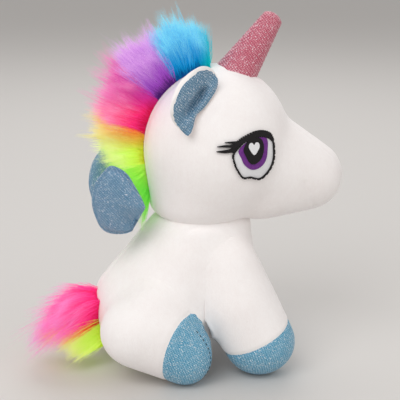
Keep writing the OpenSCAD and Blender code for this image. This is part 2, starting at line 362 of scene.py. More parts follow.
def on_side(lumps, side):
    return [((x, side * y, z), r) for (x, y, z), r in lumps]


def surface_of(form):
    """A search tree of the form's surface, in millimetres."""
    return BVHTree.FromPolygons(
        [Vector(p) for p in points(form)], [tuple(f.vertices) for f in form.data.polygons]
    )


def gap_to(tree, co):
    """Distance from each point to the surface, negative inside, with the nearest place and its normal."""
    out = [tree.find_nearest(Vector(p)) for p in co]
    place = np.array([o[0] for o in out])
    normal = np.array([o[1] for o in out])
    return ((co - place) * normal).sum(1), place, normal


# Limbs and body are first stuffed as one skin, so that each limb grows smoothly out of the body at its seam.
toy = stuffed_form(
    "toy_form",
    BODY_LUMPS + [on_side(lumps, side) for lumps in (FRONT_LUMPS, HIND_LUMPS) for _, side in SIDES],
    2.4, 8,
)
limb_trees = []
for _, side in SIDES:
    limb = stuffed_form("limb_form", [on_side(FRONT_LUMPS, side)], 2.4, 4)
    limb_trees.append(surface_of(limb))
    bpy.data.objects.remove(limb)
trunk = stuffed_form("trunk_form", BODY_LUMPS, 2.4, 4)
limb_trees.append(surface_of(trunk))
bpy.data.objects.remove(trunk)
away = np.sort(np.abs(np.array([gap_to(tree, points(toy))[0] for tree in limb_trees])), axis=0)
crease = np.where(points(toy)[:, 0] > -2, np.exp(-(((away[1] - away[0]) / 6) ** 2)) * (away[0] < 4), 0)
fold = toy.vertex_groups.new(name="fold")
for i, weight in enumerate(crease):
    fold.add([i], float(weight), "REPLACE")
modify(toy, "SMOOTH", factor=0.5, iterations=26, vertex_group="fold")
press_flat(toy)
TOY_SKIN = surface_of(toy)


def fit_to_toy(form, lift):
    """Draws a limb or the body out to the whole toy's skin wherever it lies just under it."""
    co = points(form)
    gap, place, normal = gap_to(TOY_SKIN, co)
    share = ((gap + 5.5) / 3.5).clip(0, 1)
    share = (share * share * (3 - 2 * share))[:, None]
    move_points(form, co + (place + normal * lift - co) * share)


body = stuffed_form("body_form", BODY_LUMPS, 2.4, 8)
fit_to_toy(body, 0.0)
co = points(body)
inflate(
    body, (abs(co[:, 1]) < 1.5) & (co[:, 0] < 0) | (abs(abs(co[:, 1]) - BELLY_HALF) < 1.5) & (co[:, 0] > 8),
    most=1.5
)
press_flat(body)
modify(body, "SUBSURF", levels=1, render_levels=1)
co = points(body)
sink_seam(body, np.where(co[:, 0] < -5, abs(co[:, 1]), 99))
sink_seam(body, np.where(co[:, 0] > 0, abs(abs(co[:, 1]) - BELLY_HALF), 99))
press_flat(body)

body_pieces = [
    panel(body, "body_left_panel", [((0, 0, 0), (0, 1, 0))]),
    panel(body, "body_right_panel", [((0, 0, 0), (0, -1, 0))]),
]
for piece in body_pieces:
    dress(piece, WHITE_PLUSH, None, "white_plush", piece.name.removesuffix("_fabric"))
    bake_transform(piece)
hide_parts("belly_gusset")
lump = filling(body, "body_stuffing", 3.0)
dress(lump, FIBRE, "torso", "stuffing", "body_stuffing")
bpy.data.objects.remove(body)
bpy.data.objects.remove(toy)

# ---- Head ----
# The head is two side panels with a gusset from the nose over the forehead to the nape and a narrow panel
# under the chin, all of the same plush. It is stuffed tight and ladder-stitched to the neck.
GUSSET_HALF = 9.5
head = stuffed_form(
    "head_form",
    [
        [((21, 0, 130), (43, 40, 46)), ((13, 0, 98), (31, 29, 15))],
        [((42, 0, 121), (31, 30, 31)), ((46, 0, 106), (25, 25, 21)), ((75, 0, 110), (20.5, 20, 20.5))],
    ],
    2.4, 16,
)
co = points(head)
inflate(head, (abs(co[:, 1]) < 1.5) & (co[:, 2] < 110), most=1.2)
modify(head, "SUBSURF", levels=1, render_levels=1)
co = points(head)
top_side = co[:, 2] > 112 - 0.05 * co[:, 0]
sink_seam(head, np.where(top_side, abs(abs(co[:, 1]) - GUSSET_HALF), 99), deep=0.5)
sink_seam(head, np.where(~top_side, abs(co[:, 1]), 99), deep=0.5)
# A dart at the corner of the mouth, from the middle of the muzzle down and forwards to the chin.
dart = co[:, 0] - (68.5 + 7.5 * ((112 - co[:, 2]) / 17).clip(0, 1) ** 1.6)
sink_seam(head, np.where((co[:, 2] < 112) & (co[:, 2] > 93), dart, 99), deep=0.45, wide=1.3)

GUSSET_SIDES = [((0, GUSSET_HALF, 0), (0, -1, 0)), ((0, -GUSSET_HALF, 0), (0, 1, 0))]
CHIN_CUT = ((0, 0, 112), (0.05, 0, 1))
UNDER_CUT = ((0, 0, 112), (-0.05, 0, -1))
head_pieces = [
    panel(head, "head_gusset", [*GUSSET_SIDES, CHIN_CUT]),
    panel(head, "chin_gusset", [*GUSSET_SIDES, UNDER_CUT]),
    panel(head, "head_left_panel", [((0, GUSSET_HALF, 0), (0, 1, 0))]),
    panel(head, "head_right_panel", [((0, -GUSSET_HALF, 0), (0, -1, 0))]),
]
for piece in head_pieces:
    dress(piece, WHITE_PLUSH, "head", "white_plush", piece.name.removesuffix("_fabric"))
lump = filling(head, "head_stuffing", 3.0)
dress(lump, FIBRE, "head", "stuffing", "head_stuffing")


HEAD_SKIN = surface_of(head)

# ---- Horn ----
# The horn is a cone of woven pink glitter fabric, stuffed hard and hand-sewn to the head round its open
# end. Its turned-in edge is gathered a little by the stitches.
HORN_BASE, HORN_WAY = np.array((32.5, 0, 170.0)), np.array((0.553, 0, 0.833))
HORN_R, HORN_TIP_R, HORN_LEN = 13.0, 5.8, 37.0
HORN_SUNK, HORN_DOME = 7, 0.42


def glitter_group():
    """Woven lame: fine crossed ribs, with flakes of film that catch the light one by one, painted into the
    colour as pale and near-white painted glints.
    """
    tree, get, put = group_tree(
        "glitter_weave",
        [
            ("Deep", "NodeSocketColor", (0, 0, 0, 1)),
            ("Middle", "NodeSocketColor", (0.5, 0.5, 0.5, 1)),
            ("Painted glint", "NodeSocketColor", (1, 1, 1, 1)),
            ("Spark", "NodeSocketColor", (1, 1, 1, 1)),
            ("Turn", "NodeSocketVector", (0, 0, 0)),
        ],
        [("Color", "NodeSocketColor"), ("Rough", "NodeSocketFloat"), ("Height", "NodeSocketFloat")],
    )
    place = node(tree, "ShaderNodeTexCoord").outputs["Object"]
    turned = node(tree, "ShaderNodeMapping", {"Vector": place, "Rotation": get.outputs["Turn"]}).outputs[0]
    warp = node(
        tree, "ShaderNodeTexWave",
        {"Vector": turned, "Scale": 250.0, "Distortion": 1.6, "Detail": 1.0, "Detail Scale": 1.0},
        bands_direction="X",
    )
    weft = node(
        tree, "ShaderNodeTexWave",
        {"Vector": turned, "Scale": 330.0, "Distortion": 1.2, "Detail": 1.0, "Detail Scale": 1.0},
        bands_direction="Z",
    )
    ribs = node(
        tree, "ShaderNodeMath", {0: warp.outputs["Fac"], 1: weft.outputs["Fac"]}, operation="MULTIPLY"
    )
    thread = node(tree, "ShaderNodeMath", {0: ribs.outputs[0], 1: 0.6}, operation="POWER")
    flake = node(tree, "ShaderNodeTexVoronoi", {"Vector": place, "Scale": 2600.0})
    grain = node(tree, "ShaderNodeSeparateColor", {0: flake.outputs["Color"]})
    cloud = node(tree, "ShaderNodeTexNoise", {"Vector": place, "Scale": 190.0, "Detail": 3.0})
    mix_a = node(
        tree, "ShaderNodeMix",
        {"Factor": thread.outputs[0], 6: get.outputs["Deep"], 7: get.outputs["Middle"]}, data_type="RGBA",
    )
    lit = node(
        tree, "ShaderNodeMapRange",
        {"Value": grain.outputs[0], "From Min": 0.25, "From Max": 1.0, "To Min": 0.0, "To Max": 0.8},
    )
    on_thread = node(tree, "ShaderNodeMath", {0: thread.outputs[0], 1: 0.35}, operation="ADD")
    shown = node(tree, "ShaderNodeMath", {0: lit.outputs[0], 1: on_thread.outputs[0]}, operation="MULTIPLY")
    patchy = node(tree, "ShaderNodeMath", {0: cloud.outputs[0], 1: 1.6}, operation="MULTIPLY")
    glint = node(
        tree, "ShaderNodeMath", {0: shown.outputs[0], 1: patchy.outputs[0]}, operation="MULTIPLY",
        use_clamp=True
    )
    # Painted glints: flakes on the threads, in random patches, are painted towards the glint colour as
    # highlights.
    mix_b = node(
        tree, "ShaderNodeMix",
        {"Factor": glint.outputs[0], 6: mix_a.outputs[2], 7: get.outputs["Painted glint"]}, data_type="RGBA",
    )
    # Painted sparkle: the brightest flakes are painted the near-white spark colour as glints.
    spark = node(tree, "ShaderNodeMath", {0: grain.outputs[1], 1: 0.95}, operation="GREATER_THAN")
    mix_c = node(
        tree, "ShaderNodeMix",
        {"Factor": spark.outputs[0], 6: mix_b.outputs[2], 7: get.outputs["Spark"]}, data_type="RGBA",
    )
    rough = node(
        tree, "ShaderNodeMapRange",
        {"Value": grain.outputs[2], "From Min": 0.0, "From Max": 1.0, "To Min": 0.24, "To Max": 0.62},
    )
    tilt = node(tree, "ShaderNodeMath", {0: grain.outputs[1], 1: 0.5}, operation="MULTIPLY")
    height = node(tree, "ShaderNodeMath", {0: ribs.outputs[0], 1: tilt.outputs[0]}, operation="ADD")
    tree.links.new(mix_c.outputs[2], put.inputs["Color"])
    tree.links.new(rough.outputs[0], put.inputs["Rough"])
    tree.links.new(height.outputs[0], put.inputs["Height"])
    return tree


GLITTER = glitter_group()


def glitter_material(name, deep, middle, painted_glint, spark, turn=(0, 0, 0), metal=0.12):
    made, tree, skin = base_material(name)
    cloth = tree.nodes.new("ShaderNodeGroup")
    cloth.node_tree = GLITTER
    for key, value in (("Deep", deep), ("Middle", middle), ("Painted glint", painted_glint), ("Spark", spark), ("Turn", turn)):
        cloth.inputs[key].default_value = value
    bump = node(
        tree, "ShaderNodeBump", {"Height": cloth.outputs["Height"], "Strength": 0.8, "Distance": 0.45 * MM}
    )
    tree.links.new(cloth.outputs["Color"], skin.inputs["Base Color"])
    tree.links.new(cloth.outputs["Rough"], skin.inputs["Roughness"])
    tree.links.new(bump.outputs[0], skin.inputs["Normal"])
    skin.inputs["Metallic"].default_value = metal
    skin.inputs["Sheen Weight"].default_value = 0.15
    return made


PINK_GLITTER = glitter_material(
    "pink_glitter", (0.42, 0.05, 0.10, 1), (0.80, 0.20, 0.28, 1), (0.92, 0.50, 0.57, 1),
    (0.97, 0.80, 0.85, 1),
    turn=(0, 0.6, 0),
)

bpy.ops.object.select_all(action="DESELECT")
bpy.ops.mesh.primitive_cone_add(vertices=64, radius1=1, radius2=1, depth=2, end_fill_type="NGON")
horn = bpy.context.object
horn.name = "horn_fabric"
bpy.ops.object.mode_set(mode="EDIT")
bpy.ops.mesh.select_all(action="SELECT")
bpy.ops.object.mode_set(mode="OBJECT")
modify(horn, "REMESH", mode="VOXEL", voxel_size=0.045)
co = points(horn) * MM
turn_at = np.arctan2(co[:, 1], co[:, 0])
up = (co[:, 2] + 1) / 2
flat = np.hypot(co[:, 0], co[:, 1]).clip(0, 1)
radius = HORN_R + (HORN_TIP_R - HORN_R) * up ** 0.92
dome = np.where(up > 0.985, HORN_TIP_R * HORN_DOME * (1 - flat ** 2.4), 0)
skin_r = radius * np.where(up > 0.985, flat, np.where(up < 0.015, flat, 1.0))
ribs = 0.16 * np.sin(up * 95 + 1.5 * np.sin(turn_at * 3)) * np.where((up > 0.02) & (up < 0.98), 1, 0)
gather = 0.35 * np.cos(turn_at * 13) * np.exp(-up * 14)
skin_r = skin_r + np.where(flat > 0.97, ribs + gather, 0)
rise = up * HORN_LEN + dome - HORN_SUNK * (1 - up)
side = np.array((HORN_WAY[2], 0, -HORN_WAY[0]))
place = (
    HORN_BASE + rise[:, None] * HORN_WAY
    + (skin_r * np.cos(turn_at))[:, None] * side + (skin_r * np.sin(turn_at))[:, None] * np.array((0, 1, 0))
)
move_points(horn, place)
modify(horn, "SMOOTH", factor=0.5, iterations=1)
alone(horn)
bpy.ops.object.shade_smooth()
dress(horn, PINK_GLITTER, "head", "pink_glitter", "horn_skin")
alone(horn)
bpy.ops.object.duplicate()
lump = bpy.context.object
lump.name = "horn_fibre"
move_points(lump, points(lump) - directions(lump) * 1.3)
dress(lump, FIBRE, "head", "stuffing", "horn_stuffing")

# ---- Eyes ----
# Each eye is machine embroidery on the side panel: a white satin ground, a purple iris, a black pupil with
# a small heart of white thread, and a black outline that thickens into the upper lid and three lashes at
# the back corner.
EYE_AT = (37.0, 131.0)
EYE_WHITE = [(-11.9, 2.6), (-11.4, -3), (-9.8, -6.6), (-6.8, -10.8), (-2.6, -11), (2.7, -12.6), (7.3, -9.2),
             (9.8, -4.5), (10.3, 1.5), (9, 8.4), (3.5, 10.6), (-4, 9.6)]
IRIS = [
    (-9.6, 4.5), (-8.2, -0.5), (-6.2, -4.4), (-2.3, -7.1), (2, -6.6), (5.4, -3.6), (6.7, 2), (6, 9),
    (-2, 9.5)
]
PUPIL = [
    (-7.2, 4.5), (-5.6, 0), (-3.6, -3.2), (-1, -4.1), (2.2, -2.2), (3.8, 1), (4.2, 5.5), (2, 9.5), (-4, 9)
]
HEART = [(-1.4, 1.0), (0.9, 3.7), (1.5, 5.6), (0.9, 7.2), (-0.4, 7.5), (-1.5, 6.3), (-2.6, 7.5), (-3.9, 7.2),
         (-4.5, 5.6), (-3.7, 3.7)]
LID_LOW = [(-12.2, 4.6), (-9, 6.9), (-5, 8.6), (-0.5, 9.9), (4, 9.9), (7.6, 8.6), (9.6, 6.8)]
LID_TOP = [(-12.8, 6.6), (-9.5, 9.4), (-5.6, 11.4), (-0.4, 13), (4.3, 12.8), (8.4, 10.9), (10.2, 7.6)]
LASHES = [
    [(-10.2, 8.8), (-13.5, 9.0), (-17.3, 8.6), (-13.6, 7.9), (-10.6, 7.0)],
    [(-10.8, 7.6), (-14.5, 7.2), (-17.5, 7.2), (-21.4, 6.4), (-17.2, 6.0), (-14, 5.8), (-11.6, 5.0)],
    [(-11.6, 6.4), (-15, 4.9), (-21.8, 3.9), (-17.5, 3.0), (-14, 3.2), (-11.6, 3.0)],
]
THREAD_T = 0.45


def between(a, b, c, d, t):
    """A point part way from b to c, on a smooth curve that also minds a and d."""
    bend = (2 * a - 5 * b + 4 * c - d) * t**2
    return 0.5 * (2 * b + (c - a) * t + bend + (3 * b - a - 3 * c + d) * t**3)


def smooth_loop(knots, steps):
    """Points along a smooth closed curve through the knots."""
    p = np.array(knots, float)
    out = []
    for i in range(len(p)):
        a, b, c, d = p[i - 1], p[i], p[(i + 1) % len(p)], p[(i + 2) % len(p)]
        for k in range(steps):
            t = k / steps
            out.append(between(a, b, c, d, t))
    return np.array(out)


def smooth_line(knots, steps):
    """Points along a smooth open curve through the knots."""
    p = np.array([knots[0], *knots, knots[-1]], float)
    out = []
    for i in range(1, len(p) - 2):
        a, b, c, d = p[i - 1 : i + 3]
        for k in range(steps):
            t = k / steps
            out.append(between(a, b, c, d, t))
    return np.array([*out, p[-1]])


def patch(name, outlines, side, low, high, ridge=0.0):
    """Embroidery cut to flat outlines, laid on the side of the head and raised by its layers of thread."""
    pieces = []
    for outline in outlines:
        bpy.ops.object.select_all(action="DESELECT")
        bpy.ops.mesh.primitive_circle_add(vertices=len(outline), radius=1, fill_type="NGON")
        flat_piece = bpy.context.object
        move_points(flat_piece, np.column_stack([outline[:, 0], np.zeros(len(outline)), outline[:, 1]]))
        bpy.ops.object.mode_set(mode="EDIT")
        bpy.ops.mesh.select_all(action="SELECT")
        bpy.ops.mesh.quads_convert_to_tris()
        bpy.ops.object.mode_set(mode="OBJECT")
        alone(flat_piece)
        for at in np.arange(-24, 14, 1.0):
            bpy.ops.object.mode_set(mode="EDIT")
            bpy.ops.mesh.select_all(action="SELECT")
            bpy.ops.mesh.bisect(plane_co=(at * MM, 0, 0), plane_no=(1, 0, 0))
            bpy.ops.mesh.select_all(action="SELECT")
            bpy.ops.mesh.bisect(plane_co=(0, 0, at * MM), plane_no=(0, 0, 1))
            bpy.ops.object.mode_set(mode="OBJECT")
        pieces.append(flat_piece)
    bpy.ops.object.select_all(action="DESELECT")
    for p in pieces:
        p.select_set(True)
    bpy.context.view_layer.objects.active = pieces[0]
    if len(pieces) > 1:
        bpy.ops.object.join()
    piece = pieces[0]
    piece.name = name + "_stitches"
    co = points(piece)
    laid = np.empty_like(co)
    for i, (x, _, z) in enumerate(co):
        start = Vector((EYE_AT[0] + x, side * 80, EYE_AT[1] + z))
        hit, normal, _, _ = HEAD_SKIN.ray_cast(start, Vector((0, -side, 0)))
        laid[i] = np.array(hit + normal * (low + ridge * math.sin(x * 9 + z * 3)))
    move_points(piece, laid)
    alone(piece)
    bpy.ops.object.mode_set(mode="EDIT")
    bpy.ops.mesh.select_all(action="SELECT")
    bpy.ops.mesh.remove_doubles(threshold=0.02 * MM)
    bpy.ops.mesh.select_all(action="SELECT")
    bpy.ops.mesh.normals_make_consistent(inside=False)
    bpy.ops.object.mode_set(mode="OBJECT")
    if directions(piece)[:, 1].mean() * side < 0:
        alone(piece)
        bpy.ops.object.mode_set(mode="EDIT")
        bpy.ops.mesh.select_all(action="SELECT")
        bpy.ops.mesh.flip_normals()
        bpy.ops.object.mode_set(mode="OBJECT")
    modify(piece, "SOLIDIFY", thickness=(high - low) * MM, offset=1, use_rim=True)
    bpy.ops.object.shade_smooth_by_angle(angle=math.radians(40))
    return piece


def thread_material(name, dark, light, angle):
    """Rows of satin stitch: parallel glossy threads, painted lighter along the rows as sheen and darker
    between them as shade.
    """
    made, tree, skin = base_material(name)
    place = node(tree, "ShaderNodeTexCoord").outputs["Object"]
    turned = node(tree, "ShaderNodeMapping", {"Vector": place, "Rotation": (0, angle, 0)})
    rows = node(
        tree, "ShaderNodeTexWave",
        {"Vector": turned.outputs[0], "Scale": 620.0, "Distortion": 0.6, "Detail": 1.0}, bands_direction="X",
    )
    fuzz = node(tree, "ShaderNodeTexNoise", {"Vector": place, "Scale": 900.0, "Detail": 2.0})
    both = node(tree, "ShaderNodeMath", {0: rows.outputs["Fac"], 1: fuzz.outputs[0]}, operation="MULTIPLY")
    # Painted sheen and shade: the colour runs from dark between the rows of thread to light along them, with
    # a little random fuzz.
    tint = node(tree, "ShaderNodeMix", {"Factor": both.outputs[0], 6: dark, 7: light}, data_type="RGBA")
    bump = node(
        tree, "ShaderNodeBump", {"Height": rows.outputs["Fac"], "Strength": 0.6, "Distance": 0.2 * MM}
    )
    tree.links.new(tint.outputs[2], skin.inputs["Base Color"])
    tree.links.new(bump.outputs[0], skin.inputs["Normal"])
    skin.inputs["Roughness"].default_value = 0.5
    skin.inputs["Specular IOR Level"].default_value = 0.25
    return made


WHITE_THREAD = thread_material("white_thread", (0.80, 0.80, 0.82, 1), (0.95, 0.95, 0.95, 1), 0.3)
PURPLE_THREAD = thread_material("purple_thread", (0.10, 0.015, 0.18, 1), (0.36, 0.07, 0.46, 1), 1.2)
BLACK_THREAD = thread_material("black_thread", (0.004, 0.003, 0.004, 1), (0.022, 0.018, 0.02, 1), 0.2)

white_loop = smooth_loop(EYE_WHITE, 6)
iris_loop = smooth_loop(IRIS, 6)
pupil_loop = smooth_loop(PUPIL, 6)
heart_loop = smooth_loop(HEART, 4)


def ring(loop, width):
    """The outline as a row of overlapping dashes of thread."""
    centre = loop.mean(0)
    away = loop - centre
    away /= np.linalg.norm(away, axis=1, keepdims=True)
    out = []
    for i in range(len(loop)):
        j = (i + 1) % len(loop)
        reach = width * (1.25 if i % 3 else 0.85)
        out.append(np.array([loop[i], loop[j], loop[j] + away[j] * reach, loop[i] + away[i] * reach]))
    return out


def lid_stitches():
    """Slanting satin stitches side by side, each a little longer or shorter than the last."""
    low, top = smooth_line(LID_LOW, 7), smooth_line(LID_TOP, 7)
    out = []
    for i in range(len(low) - 1):
        reach = 0.45 * (1 if i % 2 else -0.4)
        a, b, c, d = low[i], low[i + 1], top[i + 1], top[i]
        rise = (c - b) / np.linalg.norm(c - b)
        nudge = rise * 0.25 * (i % 2)
        out.append(np.array([a - nudge, b - nudge, c + rise * reach, d + rise * reach]))
    return out


for end, side in SIDES:
    white = patch(f"eye_white_{end}", [white_loop], side, 0.1, 0.1 + THREAD_T)
    iris = patch(f"eye_iris_{end}", [iris_loop], side, 0.5, 0.5 + THREAD_T)
    pupil = patch(f"eye_pupil_{end}", [pupil_loop], side, 0.9, 0.9 + THREAD_T)
    spot = patch(f"eye_spot_{end}", [heart_loop], side, 1.25, 1.25 + THREAD_T)
    line = patch(
        f"eye_line_{end}",
        [*ring(white_loop, 0.8), *lid_stitches(), *[smooth_loop(lash, 4) for lash in LASHES]],
        side, 0.15, 1.35,
    )
    for piece, material, slot in (
        (white, WHITE_THREAD, "white_thread"), (iris, PURPLE_THREAD, "purple_thread"),
        (pupil, BLACK_THREAD, "black_thread"), (spot, WHITE_THREAD, "white_thread"),
        (line, BLACK_THREAD, "black_thread"),
    ):
        dress(piece, material, "head", slot, piece.name.removesuffix("_stitches"))

# ---- Ears ----
# Each ear is a white plush back and a blue glitter lining sewn face to face and turned, so the white rolls
# over the edge. It is pinched into a cup and hand-sewn to the head along one side.
EAR_EDGE = [(0.0, 143.7), (-4.4, 147.5), (-7.7, 151.4), (-9.7, 157), (-9.3, 162), (-7.4, 167.3),
    (-4.2, 172.4),
            (1, 176.6), (5.9, 179), (9.4, 179.6), (13.2, 178.4), (16.4, 175.2), (18.2, 171), (17.6, 167.2),
            (14.4, 162.6), (9.7, 157.4), (5.6, 154.0), (4.0, 151), (2.6, 147.2)]
EAR_MID, EAR_ROOT, EAR_SEAM = (4.0, 163.0), np.array((4.8, 152.8)), np.array((0.66, 0.75))
EAR_HALF, LINING_T = 2.2, 0.8


def turn_over(thing):
    """Turns the faces the other way out, after a mirror."""
    alone(thing)
    bpy.ops.object.mode_set(mode="EDIT")
    bpy.ops.mesh.select_all(action="SELECT")
    bpy.ops.mesh.flip_normals()
    bpy.ops.object.mode_set(mode="OBJECT")


def cushion(name, outline, centre, half, square=2.4):
    """Two layers sewn together at an outline and turned.

    It is a flat cushion in x and z, half as thick as 2 * half.
    """
    bpy.ops.object.select_all(action="DESELECT")
    bpy.ops.mesh.primitive_uv_sphere_add(segments=96, ring_count=36, radius=1)
    thing = bpy.context.object
    thing.name = name
    co = points(thing) * MM
    turn = np.arctan2(co[:, 1], co[:, 0])
    away = np.hypot(co[:, 0], co[:, 1])
    loop = smooth_loop(outline, 10) - np.array(centre)
    loop_turn, loop_away = np.arctan2(loop[:, 1], loop[:, 0]), np.hypot(loop[:, 0], loop[:, 1])
    order = np.argsort(loop_turn)
    edge = np.interp(turn, loop_turn[order], loop_away[order], period=2 * math.pi)
    share = away.clip(0, 1)
    rise = half * (1 - share**square).clip(0, 1) ** 0.62 * np.sign(co[:, 2])
    move_points(thing, np.column_stack([
        centre[0] + edge * share * np.cos(turn), rise, centre[1] + edge * share * np.sin(turn)
    ]))
    turn_over(thing)
    return thing


EAR_GLITTER = glitter_material(
    "ear_glitter", (0.05, 0.17, 0.30, 1), (0.20, 0.40, 0.56, 1), (0.52, 0.64, 0.77, 1), (0.85, 0.88, 0.93, 1),
    turn=(0, 0.9, 0),
)


def cup_ear(x, z):
    """How far an ear stands out from the middle of the toy at each place on it."""
    along = (x - EAR_ROOT[0]) * EAR_SEAM[0] + (z - EAR_ROOT[1]) * EAR_SEAM[1]
    over = -(x - EAR_ROOT[0]) * EAR_SEAM[1] + (z - EAR_ROOT[1]) * EAR_SEAM[0]
    root = 32.5 - 8 * (along / 19.2).clip(-0.3, 1.1)
    rise = np.interp(over, [-4, 0, 2, 4.6, 8, 13, 17, 21], [5, 2.2, 3.2, 2.5, 3.6, 7, 9.2, 9.4])
    fold = 6.0 * np.exp(-(((over - 5) / 2.4) ** 2)) * np.interp(along, [-5, -1, 3, 12, 17], [0, 0.6, 1, 1, 0])
    return root + rise - fold


for end, side in SIDES:
    whole = cushion(f"ear_form_{end}", EAR_EDGE, EAR_MID, EAR_HALF)
    # The seam lies on the edge at the root and well inside it round the free edge, where the white back
    # rolls over.
    seam_at, seam_way = (EAR_ROOT[0], 0.15, EAR_ROOT[1]), np.array((0.048, 1.0, -0.042))
    ear_back = panel(whole, f"ear_back_{end}", [(seam_at, tuple(-seam_way))], thick=0.9)
    ear_lining = panel(whole, f"ear_lining_{end}", [(seam_at, tuple(seam_way))], thick=LINING_T)
    bpy.data.objects.remove(whole)
    for piece, material, slot in (
        (ear_back, WHITE_PLUSH, "white_plush"), (ear_lining, EAR_GLITTER, "blue_glitter")
    ):
        co = points(piece)
        co[:, 1] = side * (cup_ear(co[:, 0], co[:, 2]) + co[:, 1])
        move_points(piece, co)
        if side < 0:
            turn_over(piece)
        dress(piece, material, f"ear_{end}", slot, piece.name.removesuffix("_fabric"))

# ---- Mane ----
# The mane is a strip of long-pile fur, dyed blue, purple, pink, yellow and green in turn, whose woven
# backing is hand-sewn down the back of the head from behind the horn to the nape. It is painted darker at
# the roots as shade deep in the pile, and is pale at the tips.
CREST_CENTRE = np.array((21.0, 128.0))
MANE_HALF = 7.5
CREST_AT = (94, 98, 110, 121, 130, 150, 160, 177, 190, 203, 213)
CREST_WAY = (97, 100, 105, 113, 129, 141, 151, 163, 184, 216, 247)
CREST_LENGTH = (21, 28, 34, 35, 36, 34, 32, 28, 20, 19, 19)
MANE_COUNT = 6500
chance = np.random.default_rng(7)


def one_strand(steps):
    """The points and faces of one tapering three-sided strand, standing up from the origin, one unit long."""
    bpy.ops.object.select_all(action="DESELECT")
    bpy.ops.mesh.primitive_cone_add(vertices=3, radius1=1, radius2=0.25, depth=1, location=(0, 0, 0.5))
    strand = bpy.context.object
    alone(strand)
    bpy.ops.object.transform_apply(location=True)
    for i in range(1, steps):
        bpy.ops.object.mode_set(mode="EDIT")
        bpy.ops.mesh.select_all(action="SELECT")
        bpy.ops.mesh.bisect(plane_co=(0, 0, i / steps), plane_no=(0, 0, 1))
        bpy.ops.object.mode_set(mode="OBJECT")
    co = points(strand) * MM
    faces = [tuple(f.vertices) for f in strand.data.polygons]
    bpy.data.objects.remove(strand)
    return co, faces


def fur(name, roots, ways, lengths, bend, clump, thick):
    """Strands of pile from roots along ways, gathered towards clump tips.

    Their UV map holds chance and height.
    """
    co, faces = one_strand(4)
    n, m = len(roots), len(co)
    guide = chance.integers(0, n, max(1, n // clump))
    near = np.argmin(((roots[:, None, :] - roots[None, guide, :]) ** 2).sum(-1), axis=1)
    lock_way = ways[guide] + chance.normal(0, 0.11, (len(guide), 3))
    lock_long = lengths[guide] * chance.uniform(0.85, 1.25, len(guide))
    gather = (roots[guide] + lock_way * lock_long[:, None])[near]
    tips = roots + ways * lengths[:, None]
    hold = chance.beta(2.2, 1.6, (n, 1))
    tips = tips + (gather - tips) * hold * 0.9
    across = np.cross(ways, np.array((0.3, 1.0, 0.2)))
    across /= np.linalg.norm(across, axis=1, keepdims=True)
    other = np.cross(ways, across)
    curl = chance.normal(0, 1, (n, 2)) * lengths[:, None] * 0.05
    up = co[:, 2][None, :, None]
    width = thick * chance.uniform(0.7, 1.3, (n, 1, 1)) * (1 - 0.75 * up**1.5)
    line = roots[:, None] + (tips - roots)[:, None] * up + bend[:, None] * up**2
    line = line + (across * curl[:, :1] + other * curl[:, 1:])[:, None] * np.sin(up * 2.6)
    all_co = (
        line + across[:, None] * co[:, 0][None, :, None] * width
        + other[:, None] * co[:, 1][None, :, None] * width
    )
    mesh = bpy.data.meshes.new(name)
    sizes = np.array([len(f) for f in faces])
    corners = np.concatenate([np.array(f) for f in faces])
    mesh.vertices.add(n * m)
    mesh.vertices.foreach_set("co", (all_co * MM).ravel())
    mesh.loops.add(n * len(corners))
    mesh.loops.foreach_set("vertex_index", (corners[None] + np.arange(n)[:, None] * m).ravel())
    mesh.polygons.add(n * len(faces))
    starts = np.concatenate([[0], np.cumsum(sizes)[:-1]])
    mesh.polygons.foreach_set("loop_start", (starts[None] + np.arange(n)[:, None] * len(corners)).ravel())
    mesh.update(calc_edges=True)
    mesh.shade_smooth()
    chart = mesh.uv_layers.new(name="OFBake")
    chance_u = np.repeat(chance.uniform(0.01, 0.99, n), len(corners))
    chart.data.foreach_set("uv", np.column_stack([chance_u, np.tile(co[corners, 2], n)]).ravel())
    thing = bpy.data.objects.new(name, mesh)
    bpy.context.scene.collection.objects.link(thing)
    return thing


